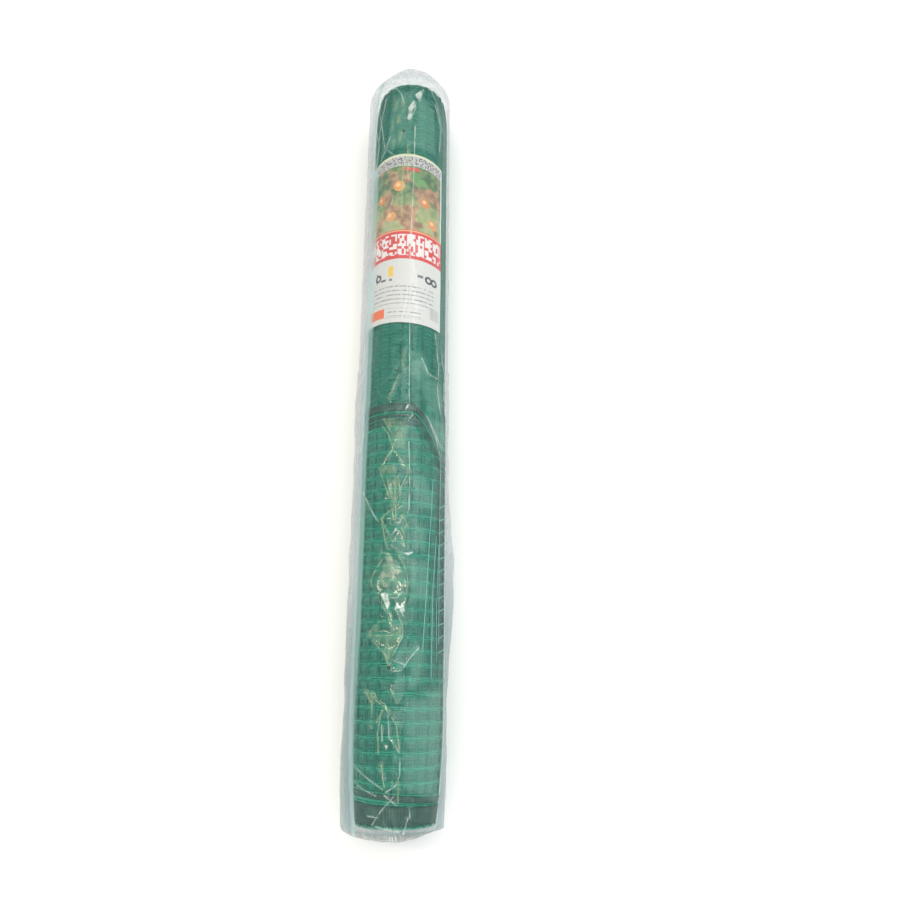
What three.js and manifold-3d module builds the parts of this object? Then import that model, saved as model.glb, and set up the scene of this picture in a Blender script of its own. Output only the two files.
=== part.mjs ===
// A roll of animal fence net, lying on the floor in the clear film bag that it is sold in.
// Millimetres, +Z up. The roll lies along Y, with its far end at +Y. The origin is on the floor,
// under the middle of the whole package.

import * as THREE from "three";
import { mergeVertices } from "three/addons/utils/BufferGeometryUtils.js";
import Module from "manifold-3d";

// The wound net. It is folded lengthwise before winding, so a flap covers the near half of the roll.
const ROLL_LENGTH = 1000;
const ROLL_RADIUS = 53;
const BORE_RADIUS = 13;
const FLAP_LENGTH = 500;
const FLAP_STEP = 1.5;
const STEP_RUN = 4;
const NEAR_END_TAPER = 8;
const TAPER_LENGTH = 130;
const TURN_PITCH = 5;
const TURN_GROOVE = 1.6;
const END_DISH = 2.5;

// The printed sheet on top of the far half of the roll.
const LABEL_WIDTH = 150;
const LABEL_LENGTH = 262;
const LABEL_ARCH = 13;
const LABEL_THICKNESS = 0.4;
const LABEL_FROM_NEAR_END = 610;
const LABEL_RIGHT_EDGE_DEGREES = 59;
const LABEL_SLANT_DEGREES = 3.5;

// The film bag.
const FILM_WALL = 0.6;
const FILM_SLACK = 0.7;
const LEFT_MARGIN = 10;
const RIGHT_MARGIN = 2.5;
const RIGHT_POUCH = 8;
const POUCH_FROM_NEAR_END = 275;
const POUCH_LENGTH = 300;
const UNDER_SLACK = 2;
const LEFT_TURN = 260;
const RIGHT_TURN = 100;
const DOWN_TURN = 180;
const MARGIN_SPREAD = 60;
const NEAR_CAP_POWER = 0.8;
const FAR_CAP_POWER = 0.6;
const NEAR_BULGE = 17;
const FAR_BULGE = 34;
const FAR_PEAK_LIFT = 40;
const VENT_RADIUS = 2.5;
const FIRST_VENT_FROM_NEAR_END = 172;
const VENT_SPACING = 369;
const VENT_COUNT = 3;
const VENT_TURN_DEGREES = -8.5;

// Clearance between pieces that touch.
const SEAT_GAP = 0.3;

// How finely the round shapes are cut.
const ROLL_SEGMENTS = 48;
const FILM_SEGMENTS = 40;
const FILM_STATIONS = 16;
const CAP_STEPS = 6;
const LABEL_COLUMNS = 24;
const LABEL_ROWS = 4;

// Places worked out from the sizes above.
const NEAR_END = -ROLL_LENGTH / 2;
const FAR_END = ROLL_LENGTH / 2;
const FLAP_EDGE = NEAR_END + FLAP_LENGTH;
const FLAP_RADIUS = ROLL_RADIUS + FLAP_STEP;
const FILM_CLEARANCE = 2 * SEAT_GAP + LABEL_THICKNESS + FILM_SLACK;
const AXIS_HEIGHT = FILM_WALL + SEAT_GAP + FLAP_RADIUS;

const wasm = await Module();
wasm.setup();

// Outer radius of the wound net at a place along the roll.
function rollRadiusAt(y) {
  const fromNearEnd = y - NEAR_END;
  const taper = NEAR_END_TAPER * Math.max(0, 1 - fromNearEnd / TAPER_LENGTH) ** 2;
  const ownStep = THREE.MathUtils.clamp((FLAP_EDGE - y) / STEP_RUN, 0, 1) * FLAP_STEP;
  return ROLL_RADIUS + ownStep - taper;
}

// One end of the roll, from the bore outwards: a ridge for each bundle of turns, with a groove between.
// The middle of the end is set back a little. outward is +1 at the far end and -1 at the near end.
function endFace(faceY, outward) {
  const outerRadius = rollRadiusAt(faceY);
  const wound = outerRadius - BORE_RADIUS;
  const turns = Math.round(wound / TURN_PITCH);
  const pitch = wound / turns;
  const points = [];
  for (let turn = 0; turn < turns; turn++) {
    const groove = BORE_RADIUS + turn * pitch;
    const ridge = groove + pitch / 2;
    const dish = END_DISH * (1 - turn / turns) ** 2;
    points.push(new THREE.Vector2(groove, faceY - outward * (dish + TURN_GROOVE)));
    points.push(new THREE.Vector2(ridge, faceY - outward * dish));
  }
  points.push(new THREE.Vector2(outerRadius, faceY - outward * TURN_GROOVE));
  return points;
}

// The wound net as one turned solid with its bore.
function netRoll() {
  const side = [
    new THREE.Vector2(rollRadiusAt(NEAR_END + TAPER_LENGTH / 3), NEAR_END + TAPER_LENGTH / 3),
    new THREE.Vector2(rollRadiusAt(NEAR_END + TAPER_LENGTH), NEAR_END + TAPER_LENGTH),
    new THREE.Vector2(rollRadiusAt(FLAP_EDGE - STEP_RUN), FLAP_EDGE - STEP_RUN),
    new THREE.Vector2(rollRadiusAt(FLAP_EDGE), FLAP_EDGE),
  ];
  const profile = [...endFace(NEAR_END, -1), ...side, ...endFace(FAR_END, 1).reverse()];
  profile.push(profile[0].clone());
  const geometry = new THREE.LatheGeometry(profile, ROLL_SEGMENTS);
  const material = new THREE.MeshStandardMaterial({ color: 0x1c7a58, roughness: 0.55, metalness: 0 });
  return named("net_roll", geometry, material);
}

// The printed sheet: a thin box bent round the roll, its ends a little slanted and the far one arched.
function labelSheet() {
  const geometry = new THREE.BoxGeometry(
    LABEL_WIDTH, LABEL_LENGTH, LABEL_THICKNESS, LABEL_COLUMNS, LABEL_ROWS, 1);
  const place = geometry.getAttribute("position");
  const nearEdge = NEAR_END + LABEL_FROM_NEAR_END;
  const slant = Math.tan(THREE.MathUtils.degToRad(LABEL_SLANT_DEGREES));
  const lowest = nearEdge - slant * LABEL_WIDTH;
  const seat = rollRadiusAt(lowest) + SEAT_GAP + LABEL_THICKNESS / 2;
  const rightEdge = THREE.MathUtils.degToRad(LABEL_RIGHT_EDGE_DEGREES) * seat;
  for (let i = 0; i < place.count; i++) {
    const across = rightEdge - LABEL_WIDTH / 2 + place.getX(i);
    const farShare = place.getY(i) / LABEL_LENGTH + 0.5;
    const arch = LABEL_ARCH * farShare * (2 * across / LABEL_WIDTH) ** 2;
    const radius = seat + place.getZ(i);
    const y = nearEdge + farShare * LABEL_LENGTH - slant * across - arch;
    place.setXYZ(i, radius * Math.sin(across / seat), y, radius * Math.cos(across / seat));
  }
  const material = new THREE.MeshStandardMaterial({ color: 0xe8e4dc, roughness: 0.6, metalness: 0 });
  return named("label_sheet", geometry, material);
}

// One closed end of the film, from its middle outwards, as radius and place along the roll. The power
// says how square the end is: 1 is an ellipse, and less is squarer.
function filmEnd(faceY, outward, bulge, power, radius, wall) {
  const points = [];
  for (let step = 0; step < CAP_STEPS; step++) {
    const round = (step / CAP_STEPS) * (Math.PI / 2);
    const reach = SEAT_GAP + wall + bulge * Math.cos(round) ** power;
    points.push(new THREE.Vector2(radius * Math.sin(round) ** power, faceY + outward * reach));
  }
  return points;
}

// The film's profile from the near pole to the far pole. wall is 0 for the inside of the film and
// FILM_WALL for the outside.
function filmProfile(wall) {
  const pitch = ROLL_LENGTH / FILM_STATIONS;
  const side = [];
  for (let station = 0; station <= FILM_STATIONS; station++) {
    const y = NEAR_END + station * pitch;
    const widest = Math.max(rollRadiusAt(y - pitch), rollRadiusAt(y), rollRadiusAt(y + pitch));
    side.push(new THREE.Vector2(widest + FILM_CLEARANCE + wall, y));
  }
  const near = filmEnd(NEAR_END, -1, NEAR_BULGE, NEAR_CAP_POWER, side[0].x, wall);
  const far = filmEnd(FAR_END, 1, FAR_BULGE, FAR_CAP_POWER, side.at(-1).x, wall);
  return [...near, ...side, ...far.reverse()];
}

// A soft swelling that is 1 at its middle and 0 at its half width.
function swelling(away, halfWidth) {
  return Math.abs(away) < halfWidth ? Math.cos((away / halfWidth) * (Math.PI / 2)) ** 2 : 0;
}

// Spare film at the left, at the right and under the roll, at a turn in degrees from straight up,
// clockwise as seen from the near end.
function spareFilm(turn, y) {
  const pouch = RIGHT_POUCH * swelling(y - NEAR_END - POUCH_FROM_NEAR_END, POUCH_LENGTH / 2);
  const left = LEFT_MARGIN * swelling(turn - LEFT_TURN, MARGIN_SPREAD);
  const right = (RIGHT_MARGIN + pouch) * swelling(turn - RIGHT_TURN, MARGIN_SPREAD);
  return left + right + UNDER_SLACK * swelling(turn - DOWN_TURN, MARGIN_SPREAD);
}

// One skin of the bag: the profile turned about the roll's axis, with the spare film pushed out and
// everything under the floor's level laid flat on it.
function filmSkin(wall) {
  const profile = filmProfile(wall);
  const geometry = new THREE.LatheGeometry(profile, FILM_SEGMENTS);
  const place = geometry.getAttribute("position");
  const bodyRadius = ROLL_RADIUS + FILM_CLEARANCE + wall;
  const floor = FILM_WALL - wall - AXIS_HEIGHT;
  for (let i = 0; i < place.count; i++) {
    const x = place.getX(i);
    const y = place.getY(i);
    const z = place.getZ(i);
    const radius = Math.hypot(x, z);
    const turn = (THREE.MathUtils.radToDeg(Math.atan2(x, z)) + 360) % 360;
    const share = Math.min(1, radius / bodyRadius);
    const stretch = radius > 0 ? 1 + spareFilm(turn, y) * share ** 2 / radius : 1;
    const lift = y > FAR_END ? FAR_PEAK_LIFT * (1 - share) ** 2 : 0;
    place.setXYZ(i, x * stretch, y, Math.max(z * stretch + lift, floor));
  }
  return solid(geometry);
}

// The bag: outer skin less inner skin, with the punched vent holes through its upper side.
function filmBag() {
  let bag = filmSkin(FILM_WALL).subtract(filmSkin(0));
  const turn = THREE.MathUtils.degToRad(VENT_TURN_DEGREES);
  for (let vent = 0; vent < VENT_COUNT; vent++) {
    const y = NEAR_END + FIRST_VENT_FROM_NEAR_END + vent * VENT_SPACING;
    const reach = 2 * (ROLL_RADIUS + FLAP_STEP);
    const punch = new THREE.CylinderGeometry(VENT_RADIUS, VENT_RADIUS, reach, 12);
    punch.rotateX(Math.PI / 2);
    punch.translate(0, y, reach / 2);
    punch.rotateY(turn);
    bag = bag.subtract(solid(punch));
  }
  const material = new THREE.MeshStandardMaterial({
    color: 0xdfe8ea, roughness: 0.15, metalness: 0, transparent: true, opacity: 0.3 });
  return named("film_bag", geometryOf(bag), material);
}

// A closed three.js geometry as a solid that can be cut and joined.
function solid(geometry) {
  const bare = geometry.clone();
  bare.deleteAttribute("normal");
  bare.deleteAttribute("uv");
  const merged = mergeVertices(bare, 1e-4);
  return new wasm.Manifold(new wasm.Mesh({
    numProp: 3,
    vertProperties: merged.getAttribute("position").array,
    triVerts: new Uint32Array(merged.getIndex().array),
  }));
}

// A solid back as a three.js geometry.
function geometryOf(made) {
  const mesh = made.getMesh();
  const geometry = new THREE.BufferGeometry();
  geometry.setAttribute("position", new THREE.BufferAttribute(mesh.vertProperties, 3));
  geometry.setIndex(new THREE.BufferAttribute(mesh.triVerts, 1));
  return geometry;
}

function named(name, geometry, material) {
  const mesh = new THREE.Mesh(geometry, material);
  mesh.name = name;
  return mesh;
}

// Everything is built about the roll's axis, and then set down on the floor, with the middle of the
// package over the origin.
const packageGroup = new THREE.Group();
packageGroup.add(netRoll(), labelSheet(), filmBag());
const middle = new THREE.Box3().setFromObject(packageGroup).getCenter(new THREE.Vector3());
packageGroup.position.set(-middle.x, -middle.y, AXIS_HEIGHT);

const root = new THREE.Group();
root.add(packageGroup);

export default root;
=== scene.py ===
"""A bagged roll of animal fence net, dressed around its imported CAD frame.

Metres, +Z up. The roll lies along Y with its near end at -Y.
A turn is an angle about the roll from straight up, clockwise as seen from the near end.
A place is a distance along the roll from its near end.
"""

import math
import random

import bmesh
import bpy
import numpy as np
from mathutils import Matrix, Vector, noise


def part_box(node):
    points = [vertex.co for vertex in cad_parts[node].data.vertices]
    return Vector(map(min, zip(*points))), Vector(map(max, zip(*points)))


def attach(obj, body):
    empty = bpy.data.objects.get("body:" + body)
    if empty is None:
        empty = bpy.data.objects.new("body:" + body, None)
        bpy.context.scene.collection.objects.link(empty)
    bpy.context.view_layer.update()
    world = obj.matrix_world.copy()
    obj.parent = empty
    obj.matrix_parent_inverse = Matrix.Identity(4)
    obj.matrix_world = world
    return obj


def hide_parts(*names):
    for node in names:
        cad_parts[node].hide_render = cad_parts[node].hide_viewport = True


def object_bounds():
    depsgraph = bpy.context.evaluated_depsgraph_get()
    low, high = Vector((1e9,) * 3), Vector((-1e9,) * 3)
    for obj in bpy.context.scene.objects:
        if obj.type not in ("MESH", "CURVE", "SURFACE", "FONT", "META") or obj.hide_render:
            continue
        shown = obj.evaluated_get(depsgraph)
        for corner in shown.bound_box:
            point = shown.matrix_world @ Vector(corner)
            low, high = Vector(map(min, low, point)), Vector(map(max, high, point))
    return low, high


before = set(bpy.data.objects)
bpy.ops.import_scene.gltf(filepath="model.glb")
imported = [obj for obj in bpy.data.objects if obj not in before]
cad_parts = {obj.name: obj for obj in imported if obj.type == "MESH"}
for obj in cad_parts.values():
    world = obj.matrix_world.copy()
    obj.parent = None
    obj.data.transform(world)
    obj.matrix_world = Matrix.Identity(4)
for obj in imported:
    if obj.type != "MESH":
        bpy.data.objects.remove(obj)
cad_low, cad_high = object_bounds()

# The wound body of the net
# About 50 m of green polyethylene net, folded once lengthwise and wound tight with no core. The inner
# turns lie so close that only their fine lines show between the outer ones.

net_low, net_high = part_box("net_roll")
AXIS_X = (net_low.x + net_high.x) / 2
AXIS_Z = (net_low.z + net_high.z) / 2
NEAR_END = net_low.y
ROLL_LENGTH = net_high.y - net_low.y
FLAP_STEP = 0.0015
ROLL_RADIUS = (net_high.x - net_low.x) / 2 - FLAP_STEP
FLAP_PLACE = ROLL_LENGTH / 2
FLAP_SLOPE = 0.004
FLAP_FADE = 0.03
NEAR_TAPER = 0.008
TAPER_LENGTH = 0.130
FAR_ROUNDING = 0.006
FAR_ROUNDING_LENGTH = 0.050
BORE_RADIUS = 0.013
BODY_DEPTH = 0.0015
BODY_SPINS = 120
BODY_STATIONS = 60
END_TURNS = 17
END_DISH = 0.0018
END_GROOVE = 0.0030
END_RIDGE = 0.0016
MESH_PITCH = 0.016

# Where the shade beside the net's cut edge fades in or out, in metres around and along the roll
SHADE_TOP = (0.0475, 0.0515)
SHADE_BOTTOM = (0.084, 0.104)
SHADE_NEAR = (0.150, 0.210)
SHADE_FAR = (0.370, 0.440)


def roll_radius(place):
    """Outer radius of the wound net at a place along it. It takes numbers and arrays."""
    taper = NEAR_TAPER * np.maximum(0, 1 - place / TAPER_LENGTH) ** 2
    rounding = FAR_ROUNDING * np.maximum(0, 1 - (ROLL_LENGTH - place) / FAR_ROUNDING_LENGTH) ** 2
    flap = FLAP_STEP * np.clip((FLAP_PLACE - place) / FLAP_SLOPE, 0, 1)
    return ROLL_RADIUS + flap - taper - rounding


def on_roll(turn, place, height):
    """The point at a height above the wound net."""
    radius = roll_radius(place) + height
    return Vector((AXIS_X + radius * math.sin(turn), NEAR_END + place, AXIS_Z + radius * math.cos(turn)))


def finish_piece(bm, name, materials, replaced=None):
    """Makes a smooth-shaded piece of a bmesh and hangs it on the part's one body."""
    mesh = bpy.data.meshes.new(name)
    bm.to_mesh(mesh)
    bm.free()
    mesh.polygons.foreach_set("use_smooth", [True] * len(mesh.polygons))
    for material in materials:
        mesh.materials.append(material)
    piece = bpy.data.objects.new(name, mesh)
    bpy.context.scene.collection.objects.link(piece)
    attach(piece, "root")
    if replaced:
        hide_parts(replaced)
    return piece


def spun(profile, steps):
    """A bmesh of a profile of (radius, place) points turned once about the roll's axis."""
    bm = bmesh.new()
    verts = [bm.verts.new((AXIS_X + radius, NEAR_END + place, AXIS_Z)) for radius, place in profile]
    edges = [bm.edges.new(pair) for pair in zip(verts, verts[1:])]
    bmesh.ops.spin(
        bm, geom=verts + edges, cent=(AXIS_X, 0, AXIS_Z), axis=(0, 1, 0),
        angle=math.tau, steps=steps, use_merge=True)
    bmesh.ops.remove_doubles(bm, verts=bm.verts, dist=1e-6)
    bmesh.ops.recalc_face_normals(bm, faces=bm.faces)
    return bm


def new_material(name, roughness):
    """A material with its Principled shader, and the tree they are in."""
    material = bpy.data.materials.new(name)
    material.use_nodes = True
    tree = material.node_tree
    shader = tree.nodes["Principled BSDF"]
    shader.inputs["Roughness"].default_value = roughness
    return material, tree, shader


def add_math(tree, operation, first, second=0.5, third=0.5):
    """One Math node. Each input is a number or a socket."""
    node = tree.nodes.new("ShaderNodeMath")
    node.operation = operation
    for socket, value in zip(node.inputs, (first, second, third)):
        if isinstance(value, (int, float)):
            socket.default_value = value
        else:
            tree.links.new(value, socket)
    return node.outputs[0]


def add_colour_mix(tree, factor, first, second):
    """One colour Mix node. The factor is a number or a socket, and a colour is a triple or a socket."""
    node = tree.nodes.new("ShaderNodeMix")
    node.data_type = "RGBA"
    for socket, value in ((node.inputs[0], factor), (node.inputs[6], first), (node.inputs[7], second)):
        if isinstance(value, tuple):
            socket.default_value = (*value, 1)
        elif isinstance(value, (int, float)):
            socket.default_value = value
        else:
            tree.links.new(value, socket)
    return node.outputs[2]


def add_range(tree, value, from_low, from_high, to_low, to_high, smooth=True):
    """One Map Range node, clamped."""
    node = tree.nodes.new("ShaderNodeMapRange")
    node.interpolation_type = "SMOOTHSTEP" if smooth else "LINEAR"
    tree.links.new(value, node.inputs["Value"])
    limits = {"From Min": from_low, "From Max": from_high, "To Min": to_low, "To Max": to_high}
    for name, number in limits.items():
        node.inputs[name].default_value = number
    return node.outputs[0]


def add_noise(tree, vector, scale, detail=3.0, stretch=(1, 1, 1)):
    """One Noise texture on a vector socket, stretched along its axes."""
    mapping = tree.nodes.new("ShaderNodeMapping")
    mapping.inputs["Scale"].default_value = stretch
    texture = tree.nodes.new("ShaderNodeTexNoise")
    texture.inputs["Scale"].default_value = scale
    texture.inputs["Detail"].default_value = detail
    tree.links.new(vector, mapping.inputs["Vector"])
    tree.links.new(mapping.outputs["Vector"], texture.inputs["Vector"])
    return texture.outputs["Fac"]


def add_bump(tree, height, strength, distance, *nodes):
    """One Bump node that feeds the Normal of the given nodes."""
    bump = tree.nodes.new("ShaderNodeBump")
    bump.inputs["Strength"].default_value = strength
    bump.inputs["Distance"].default_value = distance
    tree.links.new(height, bump.inputs["Height"])
    for node in nodes:
        tree.links.new(bump.outputs["Normal"], node.inputs["Normal"])


def make_roll_group():
    """A node group that turns Object coordinates into a point on the flattened roll, in metres."""
    group = bpy.data.node_groups.new("place on the roll", "ShaderNodeTree")
    kinds = {"Flat": "NodeSocketVector", "Around": "NodeSocketFloat", "Along": "NodeSocketFloat"}
    for name, kind in kinds.items():
        group.interface.new_socket(name, in_out="OUTPUT", socket_type=kind)
    out = group.nodes.new("NodeGroupOutput")
    coordinates = group.nodes.new("ShaderNodeTexCoord")
    split = group.nodes.new("ShaderNodeSeparateXYZ")
    group.links.new(coordinates.outputs["Object"], split.inputs[0])
    across = add_math(group, "SUBTRACT", split.outputs["X"], AXIS_X)
    up = add_math(group, "SUBTRACT", split.outputs["Z"], AXIS_Z)
    turn = add_math(group, "ARCTAN2", across, up)
    around = add_math(group, "MULTIPLY", turn, ROLL_RADIUS)
    along = add_math(group, "SUBTRACT", split.outputs["Y"], NEAR_END)
    join = group.nodes.new("ShaderNodeCombineXYZ")
    group.links.new(around, join.inputs["X"])
    group.links.new(along, join.inputs["Y"])
    group.links.new(join.outputs[0], out.inputs["Flat"])
    group.links.new(around, out.inputs["Around"])
    group.links.new(along, out.inputs["Along"])
    return group


roll_group = make_roll_group()


def add_roll_place(tree):
    """The roll group, placed in a material. Gives its outputs Flat, Around and Along."""
    node = tree.nodes.new("ShaderNodeGroup")
    node.node_tree = roll_group
    return node.outputs


def add_near_half(tree, along):
    """1 on the near half of the roll, where the folded net is one turn thicker, and 0 on the far half."""
    return add_range(tree, along, FLAP_PLACE - FLAP_FADE, FLAP_PLACE, 1, 0)


def make_shade_group():
    """A node group with the shadow on the right side, where the cut edge of the net stands off a little."""
    group = bpy.data.node_groups.new("shade beside the cut edge", "ShaderNodeTree")
    group.interface.new_socket("Strength", in_out="INPUT", socket_type="NodeSocketFloat")
    group.interface.new_socket("Shade", in_out="OUTPUT", socket_type="NodeSocketFloat")
    shade = group.nodes.new("NodeGroupInput").outputs["Strength"]
    out = group.nodes.new("NodeGroupOutput")
    place = add_roll_place(group)
    for name, fade, low, high in (
        ("Around", SHADE_TOP, 0, 1),
        ("Around", SHADE_BOTTOM, 1, 0),
        ("Along", SHADE_NEAR, 0, 1),
        ("Along", SHADE_FAR, 1, 0),
    ):
        shade = add_math(group, "MULTIPLY", shade, add_range(group, place[name], *fade, low, high))
    group.links.new(shade, out.inputs["Shade"])
    return group


shade_group = make_shade_group()


def add_shaded(tree, colour, strength):
    """A colour, darkened beside the cut edge by a strength from 0 to 1."""
    node = tree.nodes.new("ShaderNodeGroup")
    node.node_tree = shade_group
    node.inputs["Strength"].default_value = strength
    return add_colour_mix(tree, node.outputs["Shade"], colour, (0.020, 0.070, 0.066))


def add_lines(tree, coordinate, pitch, phase, width):
    """A mask of lines a pitch apart. The width is that of a line as a share of the pitch."""
    shifted = add_math(tree, "MULTIPLY_ADD", coordinate, 1 / pitch, phase)
    saw = add_math(tree, "PINGPONG", shifted, 0.5)
    return add_range(tree, saw, 0, width, 1, 0)


def make_wound_material():
    """Many turns of green yarn, seen as fine crossing lines over shadow."""
    material, tree, shader = new_material("wound green net", 0.6)
    place = add_roll_place(tree)
    drift = add_noise(tree, place["Flat"], 9, 2, (1, 0.3, 1))
    around = add_math(tree, "MULTIPLY_ADD", drift, 0.02, place["Around"])
    along = add_math(tree, "MULTIPLY_ADD", drift, 0.006, place["Along"])
    mask = None
    for coordinate, shares in ((along, (0.0, 0.21, 0.47, 0.68, 0.83)), (around, (0.1, 0.31, 0.55, 0.9))):
        for share in shares:
            lines = add_lines(tree, coordinate, MESH_PITCH, share, 0.05)
            mask = lines if mask is None else add_math(tree, "MAXIMUM", mask, lines)
    cloud = add_noise(tree, place["Flat"], 60, 4, (1, 0.35, 1))
    shade = add_range(tree, cloud, 0.35, 0.7, 0, 1)
    ground = add_colour_mix(tree, shade, (0.008, 0.072, 0.058), (0.014, 0.128, 0.096))
    rows = add_lines(tree, along, MESH_PITCH, 0.0, 0.24)
    near_half = add_near_half(tree, along)
    ground = add_colour_mix(tree, add_math(tree, "MULTIPLY", rows, near_half), ground, (0.016, 0.250, 0.165))
    far_half = add_math(tree, "SUBTRACT", 0.85, near_half)
    ground = add_colour_mix(tree, far_half, ground, (0.012, 0.190, 0.135))
    colour = add_shaded(tree, add_colour_mix(tree, mask, ground, (0.014, 0.215, 0.150)), 0.7)
    tree.links.new(colour, shader.inputs["Base Color"])
    add_bump(tree, mask, 0.6, 0.0004, shader)
    return material


def end_profile(place, outward):
    """Ridges of the turns on one end of the body, from the bore outwards."""
    outer = float(roll_radius(place)) - BODY_DEPTH
    pitch = (outer - BORE_RADIUS) / END_TURNS
    points = []
    for turn in range(END_TURNS):
        groove = BORE_RADIUS + turn * pitch
        dish = END_DISH * (1 - turn / END_TURNS)
        points.append((groove, place - outward * (dish + END_GROOVE)))
        points.append((groove + pitch / 2, place - outward * (dish + END_RIDGE)))
    points.append((outer, place - outward * END_GROOVE))
    return points


def make_body():
    """The body with its bore and its grooved ends, as one closed form."""
    side = []
    for station in range(1, BODY_STATIONS):
        place = ROLL_LENGTH * station / BODY_STATIONS
        side.append((float(roll_radius(place)) - BODY_DEPTH, place))
    profile = end_profile(0, -1) + side + end_profile(ROLL_LENGTH, 1)[::-1]
    profile.append(profile[0])
    return spun(profile, BODY_SPINS)


wound_body = finish_piece(make_body(), "wound_body", [make_wound_material()], "net_roll")

# The outer turns of the net
# The last few turns as real yarn: cross yarns round the roll and long yarns along it, 16 mm apart. On
# the near half the cross yarns of the turns lie over each other, and so they show as bright bands.
# The net's last edge lies lengthwise on the right, where the cut cross yarns stick out.

YARN_WIDTH = 0.00120
LONG_YARN_WIDTH = 0.00070
LONG_YARN_DEPTH = 0.00012
YARN_HEIGHT = 0.00040
TURNS_SHOWN = 6
TURN_DEPTH = 0.00024
CROSS_STEPS = 64
LONG_STEPS = 96
LONG_YARNS = 21
BAND_OFFSETS = (0.0003, -0.0014, 0.0017, -0.0028, 0.0031, 0.0002)
TURN_PHASE = 0.382
YARN_WANDER = 0.0014
WANDER_AROUND = 3.0
WANDER_ALONG = 14
WANDER_DEPTH = 9000
WANDER_FINENESS = 3.1
WANDER_FINE_SHARE = 0.4
WANDER_LIFT = 0.08
NEAR_MARGIN = 0.0006
END_MARGIN = 0.003
SKEW = 0.055
SKEW_PLACE = 0.27
SKEW_REACH = 0.24

random.seed(16)
noise.seed_set(16)


def yarn_section(bm):
    """A flat four-sided yarn section on the roll's surface, beside the axis."""
    made = bmesh.ops.create_circle(bm, segments=4, radius=0.5)
    bmesh.ops.scale(bm, vec=(YARN_HEIGHT, YARN_WIDTH, 1), verts=made["verts"])
    bmesh.ops.translate(bm, vec=(ROLL_RADIUS - YARN_HEIGHT / 2, 0, 0), verts=made["verts"])


def cross_yarn():
    """One closed ring of yarn about the Y axis."""
    bm = bmesh.new()
    yarn_section(bm)
    bmesh.ops.spin(
        bm, geom=bm.verts[:] + bm.edges[:], cent=(0, 0, 0), axis=(0, 1, 0),
        angle=math.tau, steps=CROSS_STEPS, use_merge=True)
    bmesh.ops.remove_doubles(bm, verts=bm.verts, dist=1e-6)
    bmesh.ops.recalc_face_normals(bm, faces=bm.faces)
    return bm


def long_yarn():
    """One straight yarn along Y, as long as the roll."""
    bm = bmesh.new()
    half_width = LONG_YARN_WIDTH / 2
    bmesh.ops.create_cone(
        bm, cap_ends=True, segments=4, radius1=half_width, radius2=half_width, depth=ROLL_LENGTH)
    lengthwise = [edge for edge in bm.edges if edge.calc_length() > ROLL_LENGTH / 2]
    bmesh.ops.subdivide_edges(bm, edges=lengthwise, cuts=LONG_STEPS)
    bmesh.ops.rotate(bm, cent=(0, 0, 0), matrix=Matrix.Rotation(math.pi / 2, 3, "X"), verts=bm.verts)
    radius = ROLL_RADIUS - YARN_HEIGHT / 2 - LONG_YARN_DEPTH
    bmesh.ops.translate(bm, vec=(radius, ROLL_LENGTH / 2, 0), verts=bm.verts)
    return bm


def join_copies(bm, matrices):
    """One bmesh with a copy of the given one at each matrix."""
    mesh = bpy.data.meshes.new("copied")
    bm.to_mesh(mesh)
    bm.free()
    joined = bmesh.new()
    for matrix in matrices:
        mesh.transform(matrix)
        joined.from_mesh(mesh)
        mesh.transform(matrix.inverted())
    bpy.data.meshes.remove(mesh)
    return joined


def sink(turn_index):
    """Shrinks a ring to the depth of a turn under the surface."""
    share = 1 - turn_index * TURN_DEPTH / ROLL_RADIUS
    return Matrix.Diagonal((share, 1, share, 1))


def cross_places(turn_index):
    """Where the cross yarns of one turn lie: in bands on the near half, and scattered on the far half."""
    near_phase = BAND_OFFSETS[turn_index]
    far_phase = MESH_PITCH * (turn_index * TURN_PHASE % 1)
    places = [step * MESH_PITCH + near_phase for step in range(1, int(FLAP_PLACE / MESH_PITCH) - 1)]
    place = FLAP_PLACE + far_phase
    while place < ROLL_LENGTH - END_MARGIN:
        places.append(place)
        place += MESH_PITCH
    return places


def skew(turn, place):
    """How far the rows slip along the roll: on the near half they run a little askew."""
    away = min(abs(place - SKEW_PLACE) / SKEW_REACH, 1)
    return -SKEW * ROLL_RADIUS * math.sin(turn) * math.cos(away * math.pi / 2) ** 2


def settle_on_roll(bm, wander, slip=skew):
    """Moves yarns from the plain ring about Y to the real roll, and lets them wander a little."""
    for vert in bm.verts:
        radius = math.hypot(vert.co.x, vert.co.z)
        depth = ROLL_RADIUS - radius
        turn = math.atan2(vert.co.x, vert.co.z)
        where = Vector((turn * WANDER_AROUND, vert.co.y * WANDER_ALONG, depth * WANDER_DEPTH))
        stray = noise.noise_vector(where) * wander
        stray += noise.noise_vector(where * WANDER_FINENESS) * wander * WANDER_FINE_SHARE
        place = vert.co.y + stray.y + slip(turn, vert.co.y)
        place = min(max(place, NEAR_MARGIN), ROLL_LENGTH - END_MARGIN)
        vert.co = on_roll(turn + stray.x / ROLL_RADIUS, place, stray.z * WANDER_LIFT - depth)


def add_attribute(tree, name):
    """The value that each point of a piece holds under a name."""
    node = tree.nodes.new("ShaderNodeAttribute")
    node.attribute_name = name
    return node.outputs["Fac"]


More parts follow.
